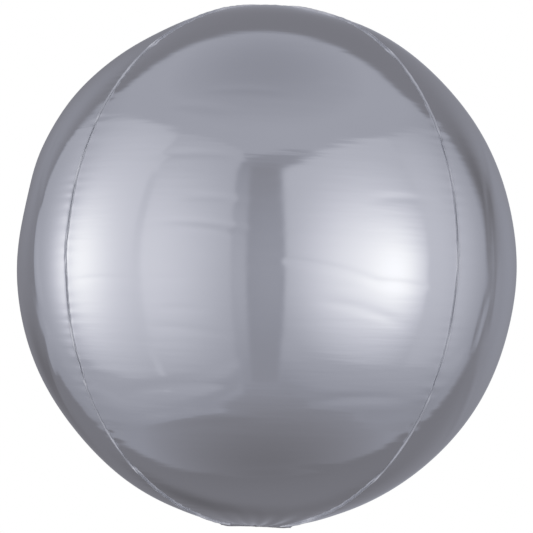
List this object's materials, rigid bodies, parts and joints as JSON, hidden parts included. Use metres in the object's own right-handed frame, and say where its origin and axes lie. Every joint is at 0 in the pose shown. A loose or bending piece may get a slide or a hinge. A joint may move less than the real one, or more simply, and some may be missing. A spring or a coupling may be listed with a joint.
{
  "type": "orb foil balloon",
  "caption": "Inflated round foil balloon made of gores of silver metallised film, heat sealed along raised seams, with a flat inflation tail that folds at its neck.",
  "frame": {"origin": "centre of the inflated orb, where the air holds it up", "axes": "+Z from the tail's pole up to the opposite pole, -Y out through the middle of the front gore, +X to the right of it"},
  "size_m": [0.3839, 0.3834, 0.4129],
  "materials": {
    "silver_foil": "metallised film, near mirror",
    "sealed_foil": "heat-sealed metallised film, satin",
    "clear_valve_film": "clear film, slightly milky"
  },
  "bodies": {
    "envelope": {"panel_front": "silver_foil", "panel_right": "silver_foil", "panel_back": "silver_foil", "panel_left": "silver_foil", "seam_front_right": "sealed_foil", "seam_back_right": "sealed_foil", "seam_back_left": "sealed_foil", "seam_front_left": "sealed_foil", "top_seal": "sealed_foil", "neck": "sealed_foil"},
    "tail": {"tail_ply_outer": "silver_foil", "tail_ply_inner": "silver_foil", "tail_edge_left": "sealed_foil", "tail_edge_right": "sealed_foil", "valve_sleeve": "clear_valve_film"}
  },
  "joints": [
    {"name": "tail_fold", "type": "hinge", "parent": "envelope", "child": "tail", "pos_m": [0, 0, -0.2016], "axis": [-1, 0, 0], "range_deg": [0, 170]}
  ]
}
